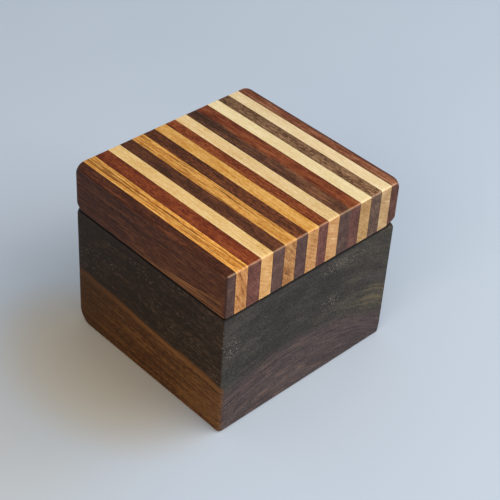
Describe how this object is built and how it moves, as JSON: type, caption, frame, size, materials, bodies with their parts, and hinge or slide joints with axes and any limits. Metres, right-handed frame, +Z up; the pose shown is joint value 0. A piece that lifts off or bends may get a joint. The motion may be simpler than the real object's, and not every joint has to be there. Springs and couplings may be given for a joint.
{
  "type": "twist top wooden box",
  "caption": "Small hand-sized wooden keepsake box: a bored dark two-tone base block and a lid of glued contrasting wood strips that swivels sideways about a hidden corner pin.",
  "frame": {"origin": "centre of the base block's underside, on the surface that the box stands on", "axes": "+X across the lid's strips towards the edge with the red-brown strip, +Y along the strips towards the back, +Z up"},
  "size_m": [0.0762, 0.073, 0.0653],
  "materials": {
    "two_tone_dark_wood": "oiled satin, near-black brown above and orange-brown below, fine pores",
    "dark_brown_wood": "oiled satin, dark purple-brown with fine long grain",
    "tan_wood": "oiled satin, orange-tan with dark wavy streaks",
    "red_brown_wood": "oiled satin, red-brown",
    "cream_wood": "oiled satin, pale cream-yellow",
    "two_tone_red_wood": "oiled satin, near-black running into red-brown",
    "grey_brown_wood": "oiled satin, grey-brown with pale flecks",
    "pin_steel": "ground rod",
    "magnet_plating": "bright plated"
  },
  "bodies": {
    "base": {"base_block": "two_tone_dark_wood", "base_magnet": "magnet_plating"},
    "lid": {"lid_strip_01_dark_brown": "dark_brown_wood", "lid_strip_02_tan": "tan_wood", "lid_strip_03_red_brown": "red_brown_wood", "lid_strip_04_cream": "cream_wood", "lid_strip_05_dark_brown": "dark_brown_wood", "lid_strip_06_tan": "tan_wood", "lid_strip_07_dark_brown": "dark_brown_wood", "lid_strip_08_tan": "tan_wood", "lid_strip_09_red_brown": "red_brown_wood", "lid_strip_10_cream": "cream_wood", "lid_strip_11_two_tone": "two_tone_red_wood", "lid_strip_12_cream": "cream_wood", "lid_strip_13_grey_brown": "grey_brown_wood", "lid_strip_14_cream": "cream_wood", "lid_strip_15_red_brown": "red_brown_wood", "pivot_pin": "pin_steel", "lid_magnet": "magnet_plating"}
  },
  "joints": [
    {"name": "lid_twist", "type": "hinge", "parent": "base", "child": "lid", "pos_m": [0.0286, 0.027, 0.0488], "axis": [0, 0, 1], "continuous": true}
  ]
}
